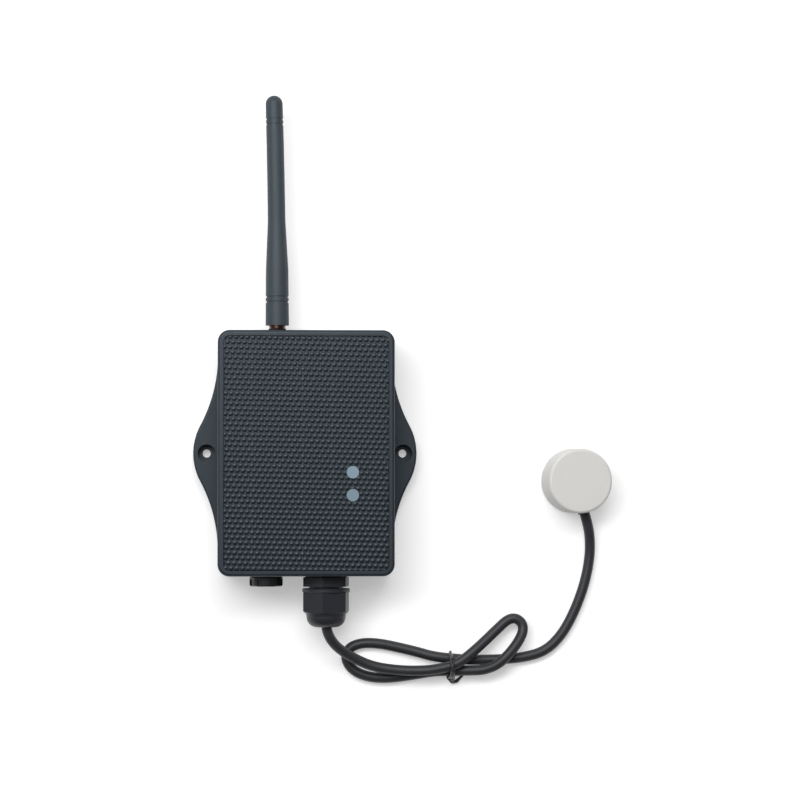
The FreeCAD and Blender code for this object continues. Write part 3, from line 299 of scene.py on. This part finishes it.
# %% Sizes of the tie and how a wire is made
WIRE_RADIUS = 0.55 * MM
TWIST_STEPS = 48
TWIST_UP = Vector((1, 0, 0.35))
TWIST_TURNS = 2.5
TWIST_SPREAD = 0.42 * MM
HOOK_TURNS = 1.5
HOOK_SPREAD = 0.3 * MM


def wire(name, places):
    """A round wire through some places, in metres, as a mesh with closed ends."""
    curve = bpy.data.curves.new(name, "CURVE")
    curve.dimensions = "3D"
    line = curve.splines.new("NURBS")
    line.points.add(len(places) - 1)
    for point, place in zip(line.points, places):
        point.co = (*place, 1.0)
    line.order_u = 4
    line.use_endpoint_u = True
    line.resolution_u = 4
    curve.bevel_depth = WIRE_RADIUS
    curve.bevel_resolution = 3
    curve.use_fill_caps = True
    piece = bpy.data.objects.new(name, curve)
    bpy.context.scene.collection.objects.link(piece)
    only(piece)
    bpy.ops.object.convert(target="MESH")
    return bpy.context.object


def twisted(path, turns, spread):
    """Two lists of places that wind round each other along a path, at some distance from it."""
    nodes = [Vector(place) * MM for place in path]
    lists = ([], [])
    for step in range(TWIST_STEPS + 1):
        along = step / TWIST_STEPS * (len(nodes) - 1)
        index = min(int(along), len(nodes) - 2)
        centre = nodes[index].lerp(nodes[index + 1], along - index)
        ahead = (nodes[index + 1] - nodes[index]).normalized()
        side = ahead.cross(TWIST_UP).normalized()
        other = ahead.cross(side)
        angle = turns * math.tau * step / TWIST_STEPS
        offset = (side * math.cos(angle) + other * math.sin(angle)) * spread
        lists[0].append(centre + offset)
        lists[1].append(centre - offset)
    return lists


print("wire ready")

# %% The loop, the twist on top and the hook below
loop_path = [
    (65.2, -98.2, 0.75), (65.3, -95.0, 0.62), (65.4, -91.4, 0.75), (65.5, -89.0, 2.0),
    (65.5, -89.0, 5.0), (65.5, -90.7, 8.6), (65.5, -92.9, 11.8), (65.6, -95.4, 12.2),
    (65.6, -98.1, 11.1), (65.4, -100.5, 7.2), (65.0, -101.0, 3.6), (64.8, -100.2, 1.1),
    (65.0, -97.4, 0.65)]
twist_path = [
    (65.6, -89.5, 5.0), (65.6, -91.0, 8.6), (65.6, -93.0, 11.6), (65.8, -95.3, 12.5),
    (66.1, -97.6, 11.7), (66.4, -99.6, 9.2), (66.5, -100.7, 6.0), (66.5, -101.6, 3.6),
    (66.5, -102.4, 2.0)]
hook_path = [
    (64.4, -99.3, 1.5), (64.8, -100.9, 1.1), (65.7, -102.3, 1.0), (66.9, -103.0, 1.0), (68.6, -102.4, 1.0),
    (70.2, -100.9, 1.0), (71.3, -99.3, 1.0), (71.9, -97.9, 1.1)]
wires = [wire("tie_loop", [Vector(place) * MM for place in loop_path])]
for path, turns, spread in (
        (twist_path, TWIST_TURNS, TWIST_SPREAD), (hook_path, HOOK_TURNS, HOOK_SPREAD)):
    for places in twisted(path, turns, spread):
        wires.append(wire("tie_strand", places))
start_fresh()
for piece in wires:
    piece.select_set(True)
bpy.context.view_layer.objects.active = wires[0]
bpy.ops.object.join()
tie_wires = bpy.context.object
tie_wires.name = "tie_wires"
finish_piece(tie_wires, "housing", angle=60)
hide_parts("cable_tie")

# %% [markdown]
# ## Writing shader maths as Python
#
# Every finish below is a node tree. Wired by hand, even "noise times a half plus a third" takes three
# nodes and five links. A small class that wraps one output socket and overloads the arithmetic turns
# such a line into those nodes, and one method adds any other node.

# %% A socket that can be added and multiplied
class Signal:
    """The output of a node; arithmetic on it adds Math nodes to the same tree."""

    def __init__(self, finish, socket):
        self.finish = finish
        self.socket = socket

    def _math(self, operation, first, second):
        return self.finish.node("ShaderNodeMath", {"operation": operation}, {0: first, 1: second})

    def __add__(self, other):
        return self._math("ADD", self, other)

    def __radd__(self, other):
        return self._math("ADD", other, self)

    def __sub__(self, other):
        return self._math("SUBTRACT", self, other)

    def __rsub__(self, other):
        return self._math("SUBTRACT", other, self)

    def __mul__(self, other):
        return self._math("MULTIPLY", self, other)

    def __rmul__(self, other):
        return self._math("MULTIPLY", other, self)


print("Signal ready")

# %% A finish: one material and its tree
NOISE_ROUGHNESS = 0.55
NEUTRAL = (1.0, 1.0, 1.0)


class Finish:
    """A material in the making, with its shader and one method that adds any node."""

    def __init__(self, name, colour, roughness, metallic=0.0, specular=0.5, tint=NEUTRAL):
        self.material = bpy.data.materials.new(name)
        self.material.use_nodes = True
        self.tree = self.material.node_tree
        self.shader = self.tree.nodes["Principled BSDF"]
        self.set("Base Color", colour)
        self.set("Roughness", roughness)
        self.set("Metallic", metallic)
        self.set("Specular IOR Level", specular)
        self.set("Specular Tint", tint)
        coordinates = self.tree.nodes.new("ShaderNodeTexCoord")
        self.place = Signal(self, coordinates.outputs["Object"])

    def set(self, socket_name, value):
        """Set a socket of the shader: a number, a colour or a signal."""
        self._feed(self.shader.inputs[socket_name], value)

    def _feed(self, socket, value):
        if isinstance(value, Signal):
            self.tree.links.new(value.socket, socket)
        elif isinstance(value, (tuple, list)) and len(value) == 3 and socket.type == "RGBA":
            socket.default_value = (*value, 1.0)
        else:
            socket.default_value = value

    def node(self, kind, settings=None, inputs=None, output=0):
        """Add a node: its settings first, then the values or links of its sockets."""
        made = self.tree.nodes.new(kind)
        for name, value in (settings or {}).items():
            setattr(made, name, value)
        for name, value in (inputs or {}).items():
            self._feed(made.inputs[name], value)
        return Signal(self, made.outputs[output])

    def noise(self, scale, detail=3.0):
        """Soft noise from 0 to 1 over the piece, its scale in bumps per metre."""
        return self.node(
            "ShaderNodeTexNoise", {},
            {"Vector": self.place, "Scale": scale, "Detail": detail, "Roughness": NOISE_ROUGHNESS})

    def between(self, factor, first, second):
        """A colour between two colours."""
        return self.node(
            "ShaderNodeMix", {"data_type": "RGBA"}, {"Factor": factor, 6: first, 7: second}, output=2)

    def smooth(self, value, low, high):
        """0 below low, 1 above high and a soft step between."""
        return self.node(
            "ShaderNodeMapRange", {"interpolation_type": "SMOOTHSTEP"},
            {"Value": value, "From Min": low, "From Max": high})

    def bump(self, height, depth):
        """Bend the shading normal by a height from 0 to 1 that is depth metres deep."""
        self.set("Normal", self.node(
            "ShaderNodeBump", {}, {"Height": height, "Distance": depth, "Strength": 1.0}))

    def coordinate(self, axis):
        """One coordinate of the place on the piece, in metres."""
        return self.node("ShaderNodeSeparateXYZ", {}, {"Vector": self.place}, output="XYZ".index(axis))

    def paint(self, *pieces):
        """Give the finish to pieces or CAD nodes, named or as objects."""
        for piece in pieces:
            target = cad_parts[piece] if isinstance(piece, str) else piece
            target.data.materials.clear()
            target.data.materials.append(self.material)
        print(self.material.name, "on", len(pieces), "piece(s)")


def srgb(red, green, blue):
    """A colour measured on screen, 0 to 255, as the linear colour that nodes use."""
    def linear(value):
        value = value / 255
        return value / 12.92 if value <= 0.04045 else ((value + 0.055) / 1.055) ** 2.4
    return (linear(red), linear(green), linear(blue))


print("Finish ready; mid grey is", round(srgb(128, 128, 128)[0], 3))

# %% [markdown]
# ## Black moulded plastic
#
# Housing and cover are moulded in black ABS. Its mould was spark-eroded, which leaves a fine even
# grain: it scatters the highlights, so that the plastic looks charcoal and never jet black. Two noises
# do it: a fine one bends the normals, a broad one shifts colour and roughness a little.

# %% Housing plastic
BLUISH = (0.78, 0.92, 1.0)
SPARK_GRAIN = 0.03 * MM
RUBBER_GRAIN = 0.02 * MM
FINE_GRAIN = 0.01 * MM
POLISHED_GRAIN = 0.005 * MM
housing_plastic = Finish("housing_plastic", srgb(40, 46, 52), 0.5, specular=0.48, tint=BLUISH)
grain = housing_plastic.noise(2600, detail=2.0)
cloud = housing_plastic.noise(55, detail=3.0)
housing_plastic.set("Base Color", housing_plastic.between(cloud, srgb(25, 31, 38), srgb(32, 38, 45)))
housing_plastic.set("Roughness", 0.4 + cloud * 0.1)
housing_plastic.bump(grain, SPARK_GRAIN)
housing_plastic.paint("rear_case", "front_cover")

# %% [markdown]
# ## The solar front
#
# Under the clear front lie four blue-black cells, a hair apart, each with thin printed current lines.
# The front itself isn't a separate layer of glass here: from any distance the eye sees dark cells
# through gloss, so the colour is painted on the front and the domes catch the lamps by themselves.

# %% Front of the panel
CELL_LINES_Y = (24.85 * MM, 0.0, -24.85 * MM)
CURRENT_LINES_X = (-24.0 * MM, -1.6 * MM, 11.4 * MM)
CELL_GAP_HALF = 0.4 * MM
CURRENT_LINE_HALF = 0.18 * MM
LINE_CORE = 0.6
CURRENT_LINE_SHOW = 0.18
CELL_GAP_SHOW = 0.6


def near_any(finish, value, centres, half_width):
    """1 on thin lines at some values of a coordinate, 0 elsewhere."""
    total = 0.0
    for centre in centres:
        offset = finish.node("ShaderNodeMath", {"operation": "ABSOLUTE"}, {0: value - centre})
        total = (1 - finish.smooth(offset, half_width * LINE_CORE, half_width)) + total
    return total


panel_front = Finish("panel_front", srgb(28, 34, 42), 0.42, specular=0.58, tint=BLUISH)
across = panel_front.coordinate("X")
along = panel_front.coordinate("Y")
cell_gaps = near_any(panel_front, along, CELL_LINES_Y, CELL_GAP_HALF)
current_lines = near_any(panel_front, across, CURRENT_LINES_X, CURRENT_LINE_HALF)
crystal = panel_front.noise(120, detail=2.0)
cell_colour = panel_front.between(crystal, srgb(4, 11, 19), srgb(10, 18, 27))
cell_colour = panel_front.between(current_lines * CURRENT_LINE_SHOW, cell_colour, srgb(84, 90, 96))
panel_front.set(
    "Base Color", panel_front.between(cell_gaps * CELL_GAP_SHOW, cell_colour, srgb(12, 15, 18)))
panel_front.bump(panel_front.noise(1800, detail=1.0), FINE_GRAIN)
panel_front.paint("solar_laminate", panel_edge_domes)

# %% [markdown]
# ## Plain finishes
#
# The remaining pieces are rubber, nylon, metal and board. Each keeps one colour idea, with a slight
# drift in tone and roughness, because real surfaces are never the same all over. One function makes
# them all from two close colours, a roughness and a grain, and the pieces follow in three groups: what
# the photograph shows, what seals and holds, and what the housing, the aerial and the head hide.

# %% A family of quiet finishes
PATCH_SCALE = 80
ROUGHNESS_DRIFT = 0.12


def quiet(name, dark, light, roughness, grain_scale, grain_depth, pieces, **more):
    """A finish that drifts between two close screen colours, with a fine grain, on some pieces."""
    finish = Finish(name, srgb(*light), roughness, **more)
    patch = finish.noise(PATCH_SCALE)
    finish.set("Base Color", finish.between(patch, srgb(*dark), srgb(*light)))
    finish.set("Roughness", (roughness - ROUGHNESS_DRIFT / 2) + patch * ROUGHNESS_DRIFT)
    finish.bump(finish.noise(grain_scale, detail=2.0), grain_depth)
    finish.paint(*pieces)


print("quiet finishes drift by", ROUGHNESS_DRIFT, "in roughness")

# %% What the photograph shows
quiet(
    "cable_jacket", (36, 37, 41), (43, 44, 49), 0.5, 1800, FINE_GRAIN,
    [sensor_cable, "cable_tail", "head_tail", "aerial_pigtail"])
quiet("aerial_rubber", (50, 57, 62), (57, 64, 70), 0.55, 2400, RUBBER_GRAIN, ["aerial_sheath"], tint=BLUISH)
quiet(
    "gland_nylon", (38, 40, 45), (45, 46, 52), 0.33, 1500, FINE_GRAIN,
    ["gland_body", "gland_locknut", "gland_nut"], specular=0.3)
quiet("vent_nylon", (25, 28, 32), (33, 36, 40), 0.26, 1500, FINE_GRAIN, ["vent_plug", "vent_locknut"])
quiet("head_grey", (212, 212, 209), (220, 218, 215), 0.5, 2200, FINE_GRAIN, ["head_shell"])
quiet("head_front", (214, 213, 210), (222, 220, 217), 0.55, 2200, FINE_GRAIN, ["head_face_plate"])
quiet("milky_lens", (116, 137, 151), (128, 149, 162), 0.4, 900, FINE_GRAIN, ["led_window"])
quiet("button_milk", (108, 129, 142), (120, 139, 151), 0.42, 900, FINE_GRAIN, ["button_cap"])
quiet("tie_wire", (38, 38, 41), (50, 50, 54), 0.32, 1500, FINE_GRAIN, [tie_wires])
# The aerial's jack, nut and collar are brass, but their colour is darkened to brown-black: painted shade and
# painted dark reflections from the sheath and housing around them.
quiet(
    "shaded_collar_brass", (66, 50, 43), (82, 64, 55), 0.16, 900, POLISHED_GRAIN,
    ["aerial_collar", "aerial_jack", "jack_nut"], metallic=1.0)

# %% What seals and holds
quiet(
    "seal_rubber", (20, 20, 21), (28, 28, 29), 0.7, 1500, RUBBER_GRAIN,
    ["cover_gasket", "jack_seal", "gland_gasket", "gland_seal", "vent_seal", "head_grommet"])
quiet(
    "insert_brass", (160, 122, 66), (188, 148, 84), 0.35, 900, FINE_GRAIN,
    ["cover_inserts", "aerial_radiator"], metallic=1.0)
quiet(
    "screw_steel", (150, 152, 154), (182, 184, 186), 0.3, 1200, FINE_GRAIN,
    ["case_screws", "board_screws"], metallic=1.0)
quiet("adhesive", (170, 166, 150), (188, 184, 168), 0.6, 900, FINE_GRAIN, ["panel_adhesive"])

# %% What is hidden inside
quiet("solar_silicon", (16, 24, 44), (24, 34, 60), 0.25, 900, POLISHED_GRAIN, ["solar_cells"])
quiet(
    "switch_black", (24, 24, 26), (34, 34, 36), 0.5, 1500, FINE_GRAIN,
    ["tact_switch", "switch_plunger", "battery_cradle"])
quiet("led_white", (220, 216, 190), (236, 232, 208), 0.35, 900, POLISHED_GRAIN, ["status_led"])
quiet("board_green", (14, 62, 40), (22, 82, 52), 0.35, 700, FINE_GRAIN, ["main_board"])
quiet(
    "module_metal", (168, 170, 170), (196, 198, 198), 0.35, 900, FINE_GRAIN, ["radio_module"], metallic=1.0)
quiet(
    "contact_gold", (200, 160, 70), (226, 186, 96), 0.25, 900, POLISHED_GRAIN, ["coax_socket"], metallic=1.0)
quiet("chip_black", (24, 25, 27), (34, 35, 37), 0.5, 1800, FINE_GRAIN, ["processor"])
quiet("terminal_green", (30, 108, 66), (40, 128, 80), 0.45, 1200, FINE_GRAIN, ["terminal_block"])
quiet("capacitor_sleeve", (24, 30, 60), (32, 40, 78), 0.35, 900, FINE_GRAIN, ["capacitor"])
quiet("connector_white", (214, 208, 190), (230, 224, 208), 0.45, 1200, FINE_GRAIN, ["battery_connector"])
quiet("cell_wrap", (30, 84, 120), (40, 104, 146), 0.35, 700, FINE_GRAIN, ["battery_cell"])
quiet("strap_fabric", (34, 34, 36), (50, 50, 52), 0.85, 1400, 0.06 * MM, ["battery_strap"])
quiet(
    "tab_nickel", (176, 174, 166), (204, 202, 194), 0.3, 900, FINE_GRAIN, ["battery_tabs"], metallic=1.0)
quiet("wire_red", (150, 22, 20), (178, 32, 28), 0.4, 900, FINE_GRAIN, ["battery_leads"])
quiet("ptfe", (226, 226, 222), (240, 240, 236), 0.5, 900, FINE_GRAIN, ["aerial_insulator"])
quiet("membrane", (214, 214, 210), (230, 230, 226), 0.7, 2600, RUBBER_GRAIN, ["vent_membrane"])
quiet("piezo", (188, 178, 150), (206, 196, 170), 0.45, 900, FINE_GRAIN, ["piezo_disc"])
quiet("potting", (40, 40, 42), (52, 52, 54), 0.5, 700, RUBBER_GRAIN, ["head_backing", "head_potting"])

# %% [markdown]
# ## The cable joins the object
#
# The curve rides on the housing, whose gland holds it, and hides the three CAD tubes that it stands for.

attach(sensor_cable, "housing")
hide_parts("cable_lead_in", "cable_hank", "cable_lead_out")

# %% [markdown]
# ## Table and light
#
# The object lies on white paper. The light comes from a window beyond its top edge, a little to the
# left: one broad soft lamp for the sky above, a smaller one for the window itself, and a room that is
# brighter on that side. The paper glows slightly for the camera and its reflections, which lifts it to
# white without lighting the object, and it still takes the shadows. Past the paper the camera sees
# plain white.

# %% White table
TABLE_SIZE = 6.0
TABLE_GAP = 0.02 * MM
PAPER_WHITE = (0.82, 0.82, 0.82)
PAPER_GLOW = 0.36

start_fresh()
bpy.ops.mesh.primitive_plane_add(size=TABLE_SIZE, location=(0.04, 0.02, -TABLE_GAP))
table = bpy.context.object
table.name = "white_table"
paper = Finish("white_paper", PAPER_WHITE, 0.9, specular=0.0)
light_path = paper.tree.nodes.new("ShaderNodeLightPath")
seen = Signal(paper, light_path.outputs["Is Camera Ray"])
seen = seen + Signal(paper, light_path.outputs["Is Glossy Ray"]) + Signal(
    paper, light_path.outputs["Is Transmission Ray"])
paper.set("Emission Color", NEUTRAL)
paper.set("Emission Strength", seen * PAPER_GLOW)
paper.paint(table)

# %% The room: bright towards the window, dim on the near side
SKY_DIM = 0.14
SKY_BRIGHT = 0.54
SKY_STEP = 0.45
WINDOW_SIDE = (-0.25, 0.95, 0.0)

world = bpy.data.worlds.new("studio")
bpy.context.scene.world = world
world.use_nodes = True
sky = world.node_tree
direction = sky.nodes.new("ShaderNodeTexCoord")
towards_window = sky.nodes.new("ShaderNodeVectorMath")
towards_window.operation = "DOT_PRODUCT"
towards_window.inputs[1].default_value = WINDOW_SIDE
sky.links.new(direction.outputs["Generated"], towards_window.inputs[0])
brightness = sky.nodes.new("ShaderNodeMapRange")
brightness.interpolation_type = "SMOOTHSTEP"
for socket, value in (
        ("From Min", -SKY_STEP), ("From Max", SKY_STEP), ("To Min", SKY_DIM), ("To Max", SKY_BRIGHT)):
    brightness.inputs[socket].default_value = value
sky.links.new(towards_window.outputs["Value"], brightness.inputs["Value"])
straight = sky.nodes.new("ShaderNodeLightPath")
backdrop = sky.nodes.new("ShaderNodeMix")
backdrop.inputs["B"].default_value = 1.0
sky.links.new(straight.outputs["Is Camera Ray"], backdrop.inputs["Factor"])
sky.links.new(brightness.outputs["Result"], backdrop.inputs["A"])
sky.links.new(backdrop.outputs["Result"], sky.nodes["Background"].inputs["Strength"])
sky.nodes["Background"].inputs["Color"].default_value = (1.0, 1.0, 1.0, 1.0)
print("room from", SKY_DIM, "to", SKY_BRIGHT)

# %% Lamps
def softbox(name, place, target, width, height, power):
    """A large area light that faces a target."""
    data = bpy.data.lights.new(name, "AREA")
    data.shape = "RECTANGLE"
    data.size = width
    data.size_y = height
    data.energy = power
    lamp = bpy.data.objects.new(name, data)
    bpy.context.scene.collection.objects.link(lamp)
    lamp.location = place
    aim = Vector(target) - Vector(place)
    lamp.rotation_euler = aim.to_track_quat("-Z", "Y").to_euler()
    return lamp


softbox("key_softbox", (-0.13, 0.34, 0.77), (-0.02, 0.0, 0.0), width=0.95, height=0.19, power=3.7)
softbox("top_softbox", (-0.24, 0.35, 1.00), (-0.24, 0.35, 0.0), width=0.84, height=0.50, power=4.2)
